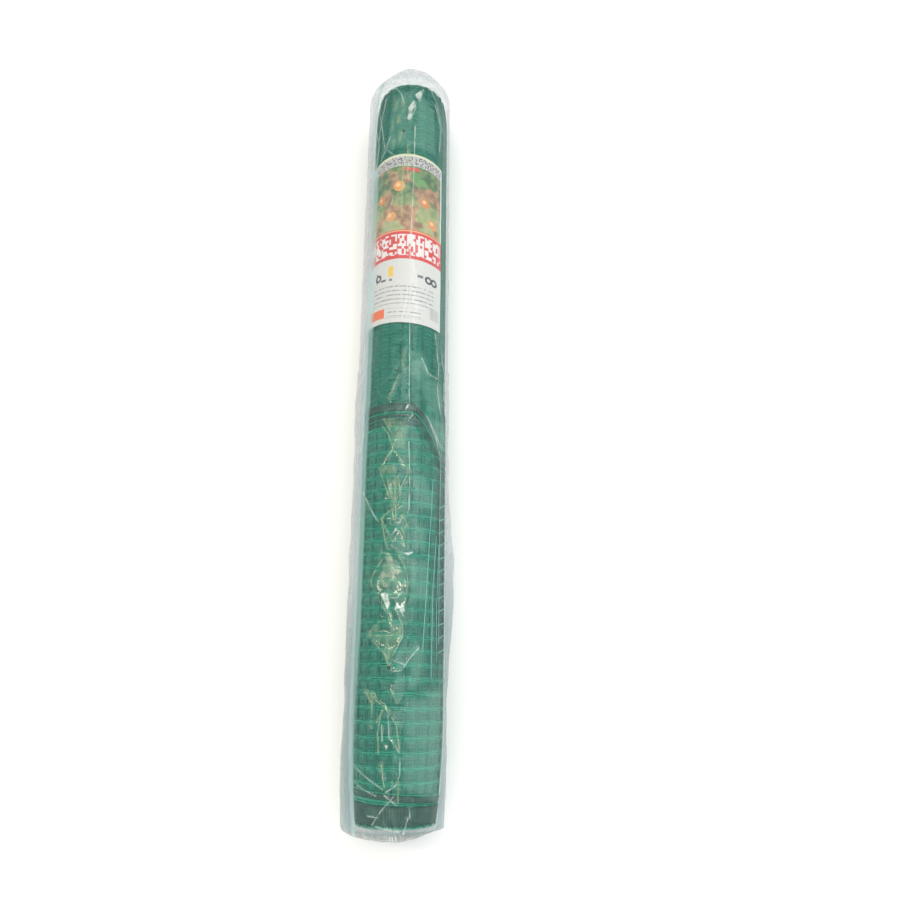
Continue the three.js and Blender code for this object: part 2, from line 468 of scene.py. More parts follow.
def make_yarn_material(name, shade):
    """Glossy green yarn, with painted shade by depth: paler on the outermost turn than on those under it.
    The shade darkens it.
    """
    material, tree, shader = new_material(name, 0.38)
    place = add_roll_place(tree)
    # Painted shade by depth: turns under the outermost one are darker, and the outermost is paler mostly on
    # the near half
    outermost = add_range(tree, add_attribute(tree, "depth"), 0, 1, 1, 0)
    banded = add_math(tree, "MULTIPLY_ADD", add_near_half(tree, place["Along"]), 0.75, 0.25)
    outermost = add_math(tree, "MULTIPLY", outermost, banded)
    fleck = add_noise(tree, place["Flat"], 220, 3)
    patch = add_noise(tree, place["Flat"], 14, 3, (1, 0.6, 1))
    pale = add_colour_mix(tree, patch, (0.009, 0.245, 0.160), (0.020, 0.375, 0.255))
    colour = add_colour_mix(tree, outermost, (0.010, 0.190, 0.135), pale)
    colour = add_colour_mix(tree, add_range(tree, fleck, 0.45, 0.75, 0, 0.30), colour, (0.10, 0.52, 0.38))
    colour = add_colour_mix(tree, shade, colour, (0.008, 0.110, 0.082))
    tree.links.new(add_shaded(tree, colour, 0.7), shader.inputs["Base Color"])
    return material


def mark_depth(piece):
    """Writes how deep each point lies under the roll's surface, from 0 at the top to 1, for the painted
    shade of the deeper turns.
    """
    mesh = piece.data
    points = np.zeros(len(mesh.vertices) * 3)
    mesh.vertices.foreach_get("co", points)
    points = points.reshape(-1, 3)
    radius = np.hypot(points[:, 0] - AXIS_X, points[:, 2] - AXIS_Z)
    depth = (roll_radius(points[:, 1] - NEAR_END) - radius) / (TURNS_SHOWN * TURN_DEPTH)
    mesh.attributes.new("depth", "FLOAT", "POINT").data.foreach_set("value", np.clip(depth, 0, 1))


yarn_material = make_yarn_material("green yarn", 0.0)
long_material = make_yarn_material("green long yarn", 0.45)

cross_matrices = []
long_matrices = []
for turn_index in range(TURNS_SHOWN):
    for place in cross_places(turn_index):
        cross_matrices.append(Matrix.Translation((0, place, 0)) @ sink(turn_index))
    turn_phase = random.uniform(0, 1)
    for yarn in range(LONG_YARNS):
        turn = Matrix.Rotation(math.tau * (yarn + turn_phase) / LONG_YARNS, 4, "Y")
        long_matrices.append(turn @ sink(turn_index))

cross_bm = join_copies(cross_yarn(), cross_matrices)
settle_on_roll(cross_bm, YARN_WANDER)
cross_yarns = finish_piece(cross_bm, "cross_yarns", [yarn_material])
mark_depth(cross_yarns)

long_bm = join_copies(long_yarn(), long_matrices)
settle_on_roll(long_bm, YARN_WANDER)
long_yarns = finish_piece(long_bm, "long_yarns", [long_material])
mark_depth(long_yarns)

# The cut edge: a fringe of cross yarns, and long yarns that have slipped, each a chain of
# (turn in degrees, place in metres)
FRINGE_COUNT = 12
FRINGE_START = 0.190
FRINGE_TURN = math.radians(60)
FRINGE_REACH = math.radians(18)
FRINGE_RISE = 0.0040
FRINGE_SLANT = 0.008
FRINGE_SWAY = 0.002
FRINGE_SHARES = (0, 0.33, 0.66, 1)
LOOSE_STEPS = 24
LOOSE_HEIGHT = 0.0001
LOOSE_YARNS = (
    ((46, 0.400), (40, 0.300), (33, 0.190)),
    ((54, 0.330), (48, 0.260), (47, 0.160)),
    ((60, 0.320), (56, 0.240), (58, 0.180)),
    ((63, 0.430), (61, 0.330), (62, 0.200)),
)


def lay_yarn(bm, points, width):
    """A flat closed yarn through points on the roll, each a (turn, place, height)."""
    rings = []
    for (turn, place, height), (next_turn, next_place, _) in zip(points, [*points[1:], points[-2]]):
        middle = on_roll(turn, place, height)
        side = Vector((math.cos(turn), 0, -math.sin(turn))) * width / 2
        if abs(next_turn - turn) * ROLL_RADIUS > abs(next_place - place):
            side = Vector((0, width / 2, 0))
        up = Vector((math.sin(turn), 0, math.cos(turn))) * YARN_HEIGHT / 2
        verts = [bm.verts.new(middle + offset) for offset in (side, up, -side, -up)]
        rings.append([bm.edges.new((verts[i - 1], verts[i])) for i in range(4)])
    for first, second in zip(rings, rings[1:]):
        bmesh.ops.bridge_loops(bm, edges=first + second)
    for end in (rings[0], rings[-1]):
        bmesh.ops.contextual_create(bm, geom=end)


def loose_ends():
    """The fringe of cut cross yarns, and the long yarns that have slipped beside it."""
    bm = bmesh.new()
    runs = []
    for step in range(FRINGE_COUNT):
        place = FRINGE_START + step * MESH_PITCH
        slant = FRINGE_SLANT + random.uniform(-FRINGE_SWAY, FRINGE_SWAY)
        runs.append([
            (FRINGE_TURN + share * FRINGE_REACH, place + share * slant, share * FRINGE_RISE)
            for share in FRINGE_SHARES])
    for chain in LOOSE_YARNS:
        turns, places = zip(*chain)
        along = np.linspace(places[0], places[-1], LOOSE_STEPS)
        turned = np.interp(along, places[::-1], turns[::-1])
        runs.append([(math.radians(turn), place, LOOSE_HEIGHT) for turn, place in zip(turned, along)])
    for run in runs:
        lay_yarn(bm, run, YARN_WIDTH)
    bmesh.ops.recalc_face_normals(bm, faces=bm.faces)
    return bm


def make_cut_yarn_material():
    """The yarn of the cut ends, painted paler as a highlight where they stand up into the light."""
    material, tree, shader = new_material("cut yarn ends", 0.40)
    tone = add_noise(tree, add_roll_place(tree)["Flat"], 180, 3)
    colour = add_colour_mix(tree, tone, (0.07, 0.38, 0.31), (0.22, 0.58, 0.50))
    tree.links.new(colour, shader.inputs["Base Color"])
    return material


loose_yarns = finish_piece(loose_ends(), "loose_yarns", [make_cut_yarn_material()])

# The selvedges
# The net's knitted edges: a dense dark strip with a bright double yarn beside it. One runs round the
# roll at its middle, where the fold ends and one corner has slipped. One runs round the near end.

STRIP_THICKNESS = 0.0005
STRIP_HEIGHT = 0.0001
STRIP_CUTS = 4
MIDDLE_STRIPS = ((0.4868, 0.4965), (0.4785, 0.4812), (0.4735, 0.4755), (0.4680, 0.4695))
MIDDLE_RINGS = (0.4978, 0.4852, 0.4836)
NEAR_STRIPS = ((0.0300, 0.0362), (0.0050, 0.0245))
NEAR_RINGS = (0.0373, 0.0285, 0.0262, 0.0015)
CORNER_START = 16
CORNER_END = 64
CORNER_DROP = 0.060
CORNER_BEND = 1.3
CORNER_RETURN = 200
CORNER_RETURNED = 260
NEAR_LEAN = 0.004


def strip_ring(low, high):
    """A thin flat strip round the roll between two places."""
    places = np.linspace(low, high, STRIP_CUTS)
    outer = [(float(roll_radius(place)) + STRIP_HEIGHT, place) for place in places]
    inner = [(radius - STRIP_THICKNESS, place) for radius, place in reversed(outer)]
    return spun(outer + inner + [outer[0]], BODY_SPINS)


def corner(turn, place):
    """How far the slipped corner hangs back along the roll, at a turn and at any place."""
    degrees = math.degrees(turn) % 360
    down = min(max((degrees - CORNER_START) / (CORNER_END - CORNER_START), 0), 1)
    back = min(max((degrees - CORNER_RETURN) / (CORNER_RETURNED - CORNER_RETURN), 0), 1)
    return -CORNER_DROP * down ** CORNER_BEND * (1 - back)


def near_lean(turn, place):
    """How far the near strips run askew. The outermost of them stays square."""
    return -NEAR_LEAN * math.sin(turn) * min(place / NEAR_STRIPS[0][0], 1) ** 3


def slip_strip(bm, slip):
    """Moves a strip along the roll, as far as slip says at each turn and place."""
    for vert in bm.verts:
        turn = math.atan2(vert.co.x - AXIS_X, vert.co.z - AXIS_Z)
        vert.co.y += slip(turn, vert.co.y - NEAR_END)


def make_strip_material():
    """Dense dark knitting, with the fine lines of its yarns."""
    material, tree, shader = new_material("dark selvedge", 0.55)
    place = add_roll_place(tree)
    lines = add_lines(tree, place["Along"], 0.0022, 0.3, 0.2)
    ticks = add_lines(tree, place["Around"], 0.0040, 0.0, 0.15)
    mask = add_math(tree, "MAXIMUM", lines, ticks)
    cloud = add_range(tree, add_noise(tree, place["Flat"], 90, 3), 0.35, 0.7, 0, 1)
    ground = add_colour_mix(tree, cloud, (0.008, 0.028, 0.026), (0.026, 0.080, 0.066))
    tree.links.new(add_colour_mix(tree, mask, ground, (0.028, 0.130, 0.100)), shader.inputs["Base Color"])
    add_bump(tree, mask, 0.5, 0.0003, shader)
    return material


strip_material = make_strip_material()
strips = bmesh.new()
scratch = bpy.data.meshes.new("strip")
for low, high in (*MIDDLE_STRIPS, *NEAR_STRIPS):
    ring = strip_ring(low, high)
    slip_strip(ring, corner if low > NEAR_STRIPS[0][1] else near_lean)
    ring.to_mesh(scratch)
    strips.from_mesh(scratch)
    ring.free()
bpy.data.meshes.remove(scratch)
selvedge_strips = finish_piece(strips, "selvedge_strips", [strip_material])

for name, places, slip in (
    ("middle_selvedge_yarns", MIDDLE_RINGS, corner),
    ("near_selvedge_yarns", NEAR_RINGS, near_lean),
):
    rings_bm = join_copies(cross_yarn(), [Matrix.Translation((0, place, 0)) for place in places])
    settle_on_roll(rings_bm, YARN_WANDER * 0.3, slip)
    bright_rings = finish_piece(rings_bm, name, [yarn_material])
    mark_depth(bright_rings)

# The printed sheet
# A sheet of thin coated paper laid on the roll inside the bag. Its print is a picture, a red band, and
# a white field with small marks. Here it is a plain design of its own, with no lettering.

SHEET_WIDTH = 0.150
SHEET_LENGTH = 0.262
SHEET_NEAR_PLACE = 0.610
SHEET_RIGHT_TURN = math.radians(59)
SHEET_SLANT = math.tan(math.radians(3.5))
SHEET_ARCH = 0.013
SHEET_HEIGHT = 0.0004
PAPER_THICKNESS = 0.00018
PAPER_BUCKLE = 0.00022
BUCKLES_AROUND = 45
BUCKLES_ALONG = 28
BUCKLE_SEED = 3
SHEET_COLUMNS = 90
SHEET_ROWS = 130
RED = (0.62, 0.040, 0.045)
PAPER_WHITE = (0.63, 0.62, 0.61)
INK = (0.05, 0.05, 0.08)
SOFT_ACROSS = 0.002
SOFT_ALONG = 0.0012
SOFT_DISC = 0.0004


def make_sheet():
    """A flat grid with its own UV map, wrapped round the roll."""
    bm = bmesh.new()
    uv_layer = bm.loops.layers.uv.new("print")
    bmesh.ops.create_grid(bm, x_segments=SHEET_COLUMNS, y_segments=SHEET_ROWS, size=0.5)
    for face in bm.faces:
        for loop in face.loops:
            loop[uv_layer].uv = (loop.vert.co.x + 0.5, loop.vert.co.y + 0.5)
    seat = ROLL_RADIUS + SHEET_HEIGHT
    right = SHEET_RIGHT_TURN * seat
    for vert in bm.verts:
        across = right - SHEET_WIDTH / 2 + vert.co.x * SHEET_WIDTH
        far_share = vert.co.y + 0.5
        arch = SHEET_ARCH * far_share * (2 * across / SHEET_WIDTH) ** 2
        place = SHEET_NEAR_PLACE + far_share * SHEET_LENGTH - SHEET_SLANT * across - arch
        where = Vector((across * BUCKLES_AROUND, place * BUCKLES_ALONG, BUCKLE_SEED))
        buckle = PAPER_BUCKLE * noise.noise(where)
        vert.co = on_roll(across / seat, place, SHEET_HEIGHT + buckle)
    bmesh.ops.recalc_face_normals(bm, faces=bm.faces)
    return bm


class Print:
    """Draws plain shapes on the sheet's UV map, one over the other."""

    def __init__(self, tree, ground):
        self.tree = tree
        self.colour = ground
        coordinates = tree.nodes.new("ShaderNodeUVMap")
        coordinates.uv_map = "print"
        self.uv = coordinates.outputs["UV"]
        split = tree.nodes.new("ShaderNodeSeparateXYZ")
        tree.links.new(self.uv, split.inputs[0])
        self.across = split.outputs["X"]
        self.along = split.outputs["Y"]

    def inside(self, value, low, high, soft):
        """A mask that is 1 between two values."""
        above = add_range(self.tree, value, low - soft, low + soft, 0, 1, False)
        below = add_range(self.tree, value, high - soft, high + soft, 1, 0, False)
        return add_math(self.tree, "MULTIPLY", above, below)

    def box(self, left, right, low, high):
        """A mask of an upright rectangle, its corners given as shares of the sheet."""
        wide = self.inside(self.across, left, right, SOFT_ACROSS)
        tall = self.inside(self.along, low, high, SOFT_ALONG)
        return add_math(self.tree, "MULTIPLY", wide, tall)

    def disc(self, across, along, radius):
        """A mask of a round dot. The radius is in metres."""
        wide = add_math(self.tree, "MULTIPLY_ADD", self.across, SHEET_WIDTH, -across * SHEET_WIDTH)
        tall = add_math(self.tree, "MULTIPLY_ADD", self.along, SHEET_LENGTH, -along * SHEET_LENGTH)
        square = add_math(self.tree, "MULTIPLY_ADD", wide, wide, add_math(self.tree, "POWER", tall, 2.0))
        reach = add_math(self.tree, "SQRT", square)
        return add_range(self.tree, reach, radius - SOFT_DISC, radius + SOFT_DISC, 1, 0)

    def cells(self, across_size, along_size, least):
        """A mask of small upright boxes, each one full when its random number is over the least."""
        corner = self.tree.nodes.new("ShaderNodeCombineXYZ")
        for axis, value, size in ((0, self.across, across_size), (1, self.along, along_size)):
            step = add_math(self.tree, "FLOOR", add_math(self.tree, "MULTIPLY", value, 1 / size))
            self.tree.links.new(step, corner.inputs[axis])
        random_value = self.tree.nodes.new("ShaderNodeTexWhiteNoise")
        random_value.noise_dimensions = "2D"
        self.tree.links.new(corner.outputs[0], random_value.inputs["Vector"])
        return add_math(self.tree, "GREATER_THAN", random_value.outputs["Value"], least)

    def paint(self, mask, colour):
        """Lays a colour over what is there."""
        self.colour = add_colour_mix(self.tree, mask, self.colour, colour)

    def both(self, first, second):
        """A mask of where two masks meet."""
        return add_math(self.tree, "MULTIPLY", first, second)

    def between(self, value, low, high, first, second):
        """A colour that goes from the first to the second as a value rises from low to high."""
        return add_colour_mix(self.tree, add_range(self.tree, value, low, high, 0, 1), first, second)


def make_print_material():
    """Coated paper with a plain design: beds of green, a red band, and a white field."""
    material, tree, shader = new_material("printed paper", 0.45)
    sheet = Print(tree, PAPER_WHITE)

    # The picture: garden beds in green and brown, with a few round fruit
    picture = sheet.box(0.02, 0.98, 0.533, 0.925)
    leaves = add_noise(tree, sheet.uv, 14, 6, (1, 1.7, 1))
    beds = add_noise(tree, sheet.uv, 5.2, 4, (1, 1.4, 1))
    foliage = sheet.between(leaves, 0.40, 0.66, (0.045, 0.13, 0.06), (0.20, 0.27, 0.11))
    lawn = sheet.between(leaves, 0.35, 0.62, (0.26, 0.34, 0.13), (0.42, 0.40, 0.22))
    field = sheet.between(sheet.along, 0.60, 0.80, lawn, foliage)
    earth = sheet.between(leaves, 0.35, 0.6, (0.22, 0.13, 0.08), (0.46, 0.26, 0.15))
    sheet.paint(picture, sheet.between(beds, 0.50, 0.57, field, earth))
    for across, along, radius, colour in (
        (0.36, 0.74, 0.0065, (0.62, 0.20, 0.06)),
        (0.55, 0.80, 0.0085, (0.70, 0.30, 0.10)),
        (0.80, 0.71, 0.0070, (0.60, 0.22, 0.08)),
        (0.47, 0.62, 0.0080, (0.70, 0.30, 0.12)),
        (0.88, 0.60, 0.0075, (0.66, 0.28, 0.12)),
        (0.12, 0.68, 0.0100, (0.74, 0.30, 0.06)),
    ):
        sheet.paint(sheet.disc(across, along, radius), colour)
        sheet.paint(sheet.disc(across - 0.012, along + 0.008, radius * 0.4), (0.84, 0.50, 0.24))
    sheet.paint(sheet.box(0.58, 0.74, 0.893, 0.915), (0.55, 0.07, 0.05))
    sheet.paint(sheet.disc(0.70, 0.86, 0.0070), (0.10, 0.26, 0.08))
    sheet.paint(sheet.disc(0.76, 0.83, 0.0060), (0.12, 0.30, 0.10))

    # The strip of small grey marks along the far edge, and its cream border
    strip = sheet.box(0.02, 0.98, 0.928, 0.984)
    marks = add_range(tree, add_noise(tree, sheet.uv, 70, 1, (1.0, 1.1, 1)), 0.50, 0.56, 0, 1)
    sheet.paint(strip, (0.50, 0.49, 0.48))
    sheet.paint(sheet.both(strip, marks), (0.12, 0.10, 0.13))
    sheet.paint(sheet.box(-0.1, 1.1, 0.988, 1.1), (0.66, 0.70, 0.46))

    # The red band with a row of bold white blocks, each with gaps in it at random
    sheet.paint(sheet.box(-0.1, 1.1, 0.362, 0.533), RED)
    sheet.paint(sheet.box(-0.1, 1.1, 0.523, 0.528), (0.80, 0.50, 0.22))
    gaps = add_lines(tree, sheet.across, 0.084, 0.5, 0.10)
    blocks = sheet.both(sheet.box(0.05, 0.98, 0.382, 0.506), add_math(tree, "SUBTRACT", 1.0, gaps))
    blocks = sheet.both(blocks, sheet.cells(0.021, 0.0155, 0.36))
    sheet.paint(blocks, (0.76, 0.70, 0.70))

    # The white field: dark rings, a yellow tag, fine rows, a red box and upright bars
    for across, along in ((0.350, 0.268), (0.845, 0.262), (0.905, 0.260)):
        sheet.paint(sheet.disc(across, along, 0.0058), INK)
        sheet.paint(sheet.disc(across, along, 0.0026), PAPER_WHITE)
    for left, right, low, high, colour in (
        (0.325, 0.336, 0.240, 0.300, INK),
        (0.385, 0.440, 0.240, 0.252, (0.10, 0.10, 0.12)),
        (0.735, 0.790, 0.262, 0.278, (0.16, 0.16, 0.18)),
        (0.465, 0.515, 0.262, 0.322, (0.78, 0.52, 0.08)),
        (0.475, 0.505, 0.236, 0.250, (0.20, 0.20, 0.20)),
        (0.24, 0.433, 0.030, 0.082, (0.78, 0.14, 0.04)),
        (0.44, 0.80, 0.078, 0.081, (0.45, 0.45, 0.46)),
        (0.44, 0.80, 0.026, 0.029, (0.45, 0.45, 0.46)),
    ):
        sheet.paint(sheet.box(left, right, low, high), colour)
    rows = add_lines(tree, sheet.along, 0.024, 0.55, 0.24)
    words = add_range(tree, add_noise(tree, sheet.uv, 90, 1, (1.0, 0.3, 1)), 0.44, 0.50, 0, 1)
    text = sheet.both(sheet.box(0.28, 0.90, 0.105, 0.215), sheet.both(rows, words))
    sheet.paint(text, (0.16, 0.16, 0.19))
    small = sheet.both(sheet.box(0.46, 0.78, 0.034, 0.074), sheet.both(rows, words))
    sheet.paint(small, (0.22, 0.22, 0.25))
    bars = add_lines(tree, sheet.across, 0.014, 0.0, 0.26)
    sheet.paint(sheet.both(sheet.box(0.86, 0.975, 0.045, 0.110), bars), (0.12, 0.12, 0.14))

    fibre = add_noise(tree, sheet.uv, 240, 3)
    worn = add_colour_mix(tree, add_range(tree, fibre, 0.3, 0.8, 0, 0.12), sheet.colour, (0.60, 0.58, 0.55))
    tree.links.new(worn, shader.inputs["Base Color"])
    add_bump(tree, add_noise(tree, sheet.uv, 30, 4), 0.15, 0.0004, shader)
    return material


printed_sheet = finish_piece(make_sheet(), "printed_sheet", [make_print_material()], "label_sheet")
paper = printed_sheet.modifiers.new("paper thickness", "SOLIDIFY")
paper.thickness = PAPER_THICKNESS
paper.offset = 1

# The film bag
# A tube of clear polyethylene film drawn over the roll and closed at both ends. It is wider than the
# roll, so it stands off at both sides, and along the top it is creased into a row of diamonds.

FILM_REST = 0.0013
FILM_STATIONS = 300
FILM_SPINS = 132
FILM_CROWDING = 0.42
FILM_CROWDED_TURN = math.radians(-8)
LEFT_MARGIN = 0.0110
RIGHT_MARGIN = 0.0025
LEFT_DEGREES = 260
RIGHT_DEGREES = 100
UNDER_DEGREES = 180
SIDE_SPREAD = 60
RIGHT_POUCH = 0.0085
POUCH_PLACE = 0.275
POUCH_LENGTH = 0.300
UNDER_SLACK = 0.0020
WAVE = 0.0022
RIPPLE = 0.0012
NEAR_BULGE = 0.0145
NEAR_CUT = 0.5
NEAR_CUT_TURN = 70
FAR_BULGE = 0.0343
NEAR_POWER = 0.8
FAR_POWER = 0.95
FAR_PEAK_LIFT = 0.036
CAP_STEPS = 20
CAP_REST = 0.0009
FLOOR_LIFT = 0.0001
EDGE_STRIP = 0.0040
EDGE_STRIP_GAIN = 0.0055
EDGE_STRIP_WIDE_FROM = 0.22
EDGE_STRIP_WIDE_TO = 0.86
EDGE_STRIP_WAVE = 0.001
EDGE_STRIP_SOFT = 0.0012
EDGE_LINE_WIDTH = 0.0006
EDGE_TOP = 0.15
FREE_START = 0.0002
FREE_SOFT = 0.0010
VENT_RADIUS = 0.0006
# How far the painted shade round each vent reaches, and how softly it ends
VENT_SHADE_REACH = 0.0028
VENT_SHADE_SOFT = 0.0006
FOLD_HEIGHT = 0.0011
FOLD_SPREAD = 0.0024
FOLD_LINE_WIDTH = 0.00072
COARSE_CRUMPLE = (0.026, 0.050)
COARSE_HEIGHT = 0.0006
FINE_CRUMPLE = (0.008, 0.014)
FINE_HEIGHT = 0.00025
CRUMPLE_WIDTH = 0.08
PLEAT_HEIGHT = 0.0030
REFINED_REACHES = (0.0045, 0.0020)

# The vents, each a (turn in degrees, place in millimetres)
VENTS = ((-8.5, 172), (-8.5, 541), (-8.5, 910))

# Folds with a painted warm highlight where they catch the warm light, each a chain of (turn in degrees,
# place in millimetres)
WARM_GLINT_FOLDS = (
    ((-3, 880), (-1, 860), (0, 834)),
    ((-2, 886), (-2, 862), (-1, 832)),
    ((-6, 862), (-9, 828), (-8, 800), (-9, 772)),
    ((-7, 856), (-8, 836), (-10, 806)),
    ((-8, 855), (-10, 818), (-8, 799), (-11, 785)),
    ((-22, 800), (-28, 779), (-32, 766)),
    ((-6, 535), (-16, 511), (-20, 505), (-16, 499)),
    ((-9, 527), (-13, 514), (-17, 507)),
    ((-25, 476), (-14, 457), (-6, 451)),
    ((-27, 467), (-18, 456), (-11, 436)),
    ((-11, 436), (-29, 411), (-10, 363)),
    ((-11, 436), (10, 407), (-10, 363)),
    ((5, 370), (-9, 359), (-24, 348), (-16, 312)),
    ((-5, 364), (-23, 347), (-10, 320)),
    ((-9, 351), (-2, 346), (3, 352), (6, 346), (12, 334)),
    ((2, 336), (12, 312)),
    ((-10, 315), (-1, 303), (10, 282), (12, 267), (8, 241)),
    ((-19, 299), (-36, 275), (-35, 269), (-26, 253), (-14, 236)),
    ((-11, 230), (-8, 218)),
    ((1, 231), (7, 218), (7, 208), (2, 198), (-6, 182), (-8, 173)),
    ((-37, 211), (-23, 224), (-14, 225)),
    ((-35, 209), (-8, 208), (4, 213)),
    ((-35, 208), (-14, 187), (-9, 173)),
    ((-38, 146), (-12, 129), (2, 110), (6, 84)),
    ((-14, 126), (-22, 112)),
    ((-5, 148), (2, 133)),
    ((-38, 146), (-28, 132), (-28, 106)),
    ((-14, 66), (-10, 45)),
    ((5, 53), (6, 29)),
    ((-9, 395), (-6, 372), (-5, 350)),
    ((-4, 400), (0, 380), (-3, 362)),
    ((-18, 400), (-13, 380), (-8, 345)),
    ((-36, 148), (-24, 138), (-12, 127)),
    ((-16, 124), (-20, 100), (-18, 80)),
)

# Folds painted pale, partly whitened film and partly a painted highlight of the white light
PALE_FOLDS = (
    ((8, 918), (8, 861), (7, 795), (5, 717), (7, 599), (8, 515), (9, 490)),
    ((9, 445), (11, 400), (11, 358)),
    ((7, 961), (-2, 947), (0, 928)),
    ((9, 951), (2, 931)),
    ((20, 984), (7, 972), (14, 961), (20, 984)),
    ((4, 487), (6, 492), (10, 494)),
    ((7, 481), (9, 475), (14, 481)),
    ((33, 481), (60, 442)),
    ((33, 481), (48, 455), (58, 430)),
    ((-55, 384), (-34, 351)),
    ((-50, 375), (-30, 346)),
    ((6, 305), (11, 303), (17, 306)),
    ((-10, 326), (-4, 334)),
    ((-5, 180), (9, 176)),
    ((9, 173), (15, 182), (27, 195)),
    ((-5, 168), (6, 169)),
    ((-8, 120), (-6, 96), (6, 81)),
    ((-15, 110), (-14, 93)),
    ((-10, 37), (4, 27)),
    ((-30, 15), (-16, 14)),
    ((-24, 6), (-14, 20), (0, 35)),
    ((-20, 5), (8, 0)),
    ((19, 24), (20, 14)),
    ((18, 14), (13, -2)),
    ((-3, -5), (-2, -10)),
    ((0, -5), (1, -10)),
    ((4, -5), (5, -9)),
    ((7, 72), (7, 58), (3, 47), (-8, 40)),
    ((-49, 63), (-12, 43)),
    ((-46, 45), (-20, 36)),
    ((-60, 930), (-52, 900), (-57, 860)),
    ((-52, 950), (-40, 890), (-20, 868)),
    ((40, 965), (52, 930), (50, 890)),
    ((-62, 500), (-58, 470), (-64, 440)),
    ((-60, 978), (-66, 940), (-62, 900)),
    ((-50, 982), (-60, 930), (-64, 870)),
    ((-40, 975), (-48, 945), (-53, 905)),
    ((-30, 905), (-38, 885), (-46, 872)),
    ((-26, 990), (-14, 975), (-10, 958)),
    ((30, 990), (42, 970), (56, 925)),
    ((46, 600), (52, 560), (50, 520), (56, 490)),
    ((60, 575), (64, 545), (62, 510)),
    ((24, 560), (34, 540), (48, 537)),
)

# Patches of crumpled film painted with a warm highlight, each an outline of (turn in degrees, place in
# millimetres) corners
WARM_GLINT_PATCHES = (
    ((-27, 948), (-20, 950), (-18, 966), (-25, 963)),
    ((-21, 924), (-13, 926), (-14, 939), (-19, 941)),
    ((-29, 913), (-24, 915), (-25, 933), (-30, 929)),
    ((-13, 941), (-7, 945), (-9, 970), (-14, 962)),
    ((-17, 892), (-12, 894), (-11, 910), (-16, 912)),
    ((-27, 884), (-21, 887), (-22, 901), (-28, 897)),
    ((-11, 790), (-7, 788), (-4, 866), (-8, 860)),
    ((-3, 812), (1, 812), (2, 882), (-3, 882)),
    ((-4, 541), (3, 541), (3, 570), (-4, 570)),
    ((-19, 500), (-14, 501), (-16, 509), (-21, 508)),
    ((-13, 456), (1, 451), (9, 465), (-6, 477), (-26, 476)),
    ((-10, 436), (3, 436), (6, 461), (-14, 459)),
    ((-27, 406), (-11, 400), (-4, 403), (-7, 416), (-24, 415)),
    ((1, 411), (7, 412), (3, 424), (-3, 423)),
    ((-10, 367), (-5, 371), (-2, 401), (-19, 399)),
    ((-7, 273), (2, 274), (0, 283), (-8, 282)),
    ((-1, 256), (4, 258), (-4, 268), (-10, 270)),
    ((8, 249), (11, 250), (12, 260), (7, 259)),
    ((-36, 207), (-24, 214), (-21, 223), (-36, 214)),
    ((-15, 193), (4, 204), (7, 212), (-9, 211), (-36, 207)),
    ((-11, 180), (-6, 182), (0, 201), (-15, 193)),
    ((-8, 212), (7, 213), (3, 223), (-7, 222)),
    ((-30, 133), (-19, 135), (-29, 146), (-43, 148)),
    ((-33, 104), (-26, 107), (-29, 114), (-34, 112)),
    ((-15, 57), (-12, 63), (-11, 73), (-18, 71), (-20, 66)),
    ((4, 83), (7, 83), (7, 91), (3, 88)),
    ((5, 40), (8, 40), (8, 50), (4, 51)),
)
# Patches of painted white highlight, each an outline of (turn in degrees, place in millimetres) corners
PAINTED_GLINTS = (
    ((-12, 237), (-9, 244), (-13, 258), (-22, 257)),
    ((4, 240), (-1, 247), (-4, 237)),
    ((10, 236), (5, 247), (2, 236)),
    ((14, 961), (20, 984), (7, 972)),
    ((1, 940), (9, 954), (5, 962), (-3, 949)),
    ((0, 927), (4, 940), (1, 952), (-4, 931)),
    ((-8, 327), (-3, 333), (-5, 335), (-10, 326)),
    ((12, 302), (18, 307), (7, 305)),
    ((6, 489), (10, 495), (6, 495), (4, 489)),
    ((11, 475), (14, 483), (10, 480), (9, 475)),
    ((-9, 84), (-7, 88), (-12, 89)),
)
# Patches of painted milky sheen where glare lies on the film, each an outline of (turn in degrees, place in
# millimetres) corners
SHEEN_PATCHES = (
    ((4, 884), (44, 878), (38, 955), (12, 976)),
    ((-34, 884), (4, 884), (4, 978), (-28, 972)),
    ((38, 486), (62, 501), (59, 528), (37, 535), (22, 528)),
    ((10, 535), (22, 528), (37, 535), (27, 570), (8, 567)),
    ((49, 440), (90, 460), (90, 472), (32, 482)),
    ((24, 360), (44, 362), (44, 377), (29, 403), (15, 399)),
    ((18, 312), (32, 310), (34, 335), (20, 346)),
    ((17, 250), (39, 251), (38, 296), (15, 295)),
    ((15, 148), (29, 155), (34, 191), (21, 204)),
    ((14, 84), (45, 83), (47, 137), (11, 138)),
    ((12, 43), (57, 30), (56, 81), (11, 82)),
    ((45, 62), (58, 61), (64, 148), (38, 148)),
)
SHARP_EDGE = 0.0006
SOFT_EDGE = 0.0030


def swelling(away, half_width):
    """1 at its middle and 0 from its half width on."""
    share = np.clip(np.abs(away) / half_width, 0, 1)
    return np.cos(share * math.pi / 2) ** 2


def cap_points(place, outward, bulge, power, radius):
    """One closed end of the film, from its middle outwards."""
    points = []
    for step in range(CAP_STEPS):
        angle = step / CAP_STEPS * math.pi / 2
        reach = CAP_REST + bulge * math.cos(angle) ** power
        points.append((radius * math.sin(angle) ** power, place + outward * reach))
    return points


def film_radius(place):
    """Radius of the film where it rests on the roll, with room for the step and the taper."""
    reach = ROLL_LENGTH / 16
    near_by = [roll_radius(place + step) for step in (-reach, 0, reach)]
    return np.maximum.reduce(near_by) + FILM_REST


def make_film_tube():
    """The film as a plain closed tube, before it creases."""
    places = np.linspace(0, ROLL_LENGTH, FILM_STATIONS)
    side = [(float(film_radius(place)), float(place)) for place in places]
    near = cap_points(0, -1, NEAR_BULGE, NEAR_POWER, side[0][0])
    far = cap_points(ROLL_LENGTH, 1, FAR_BULGE, FAR_POWER, side[-1][0])
    return spun(near + side + far[::-1], FILM_SPINS)


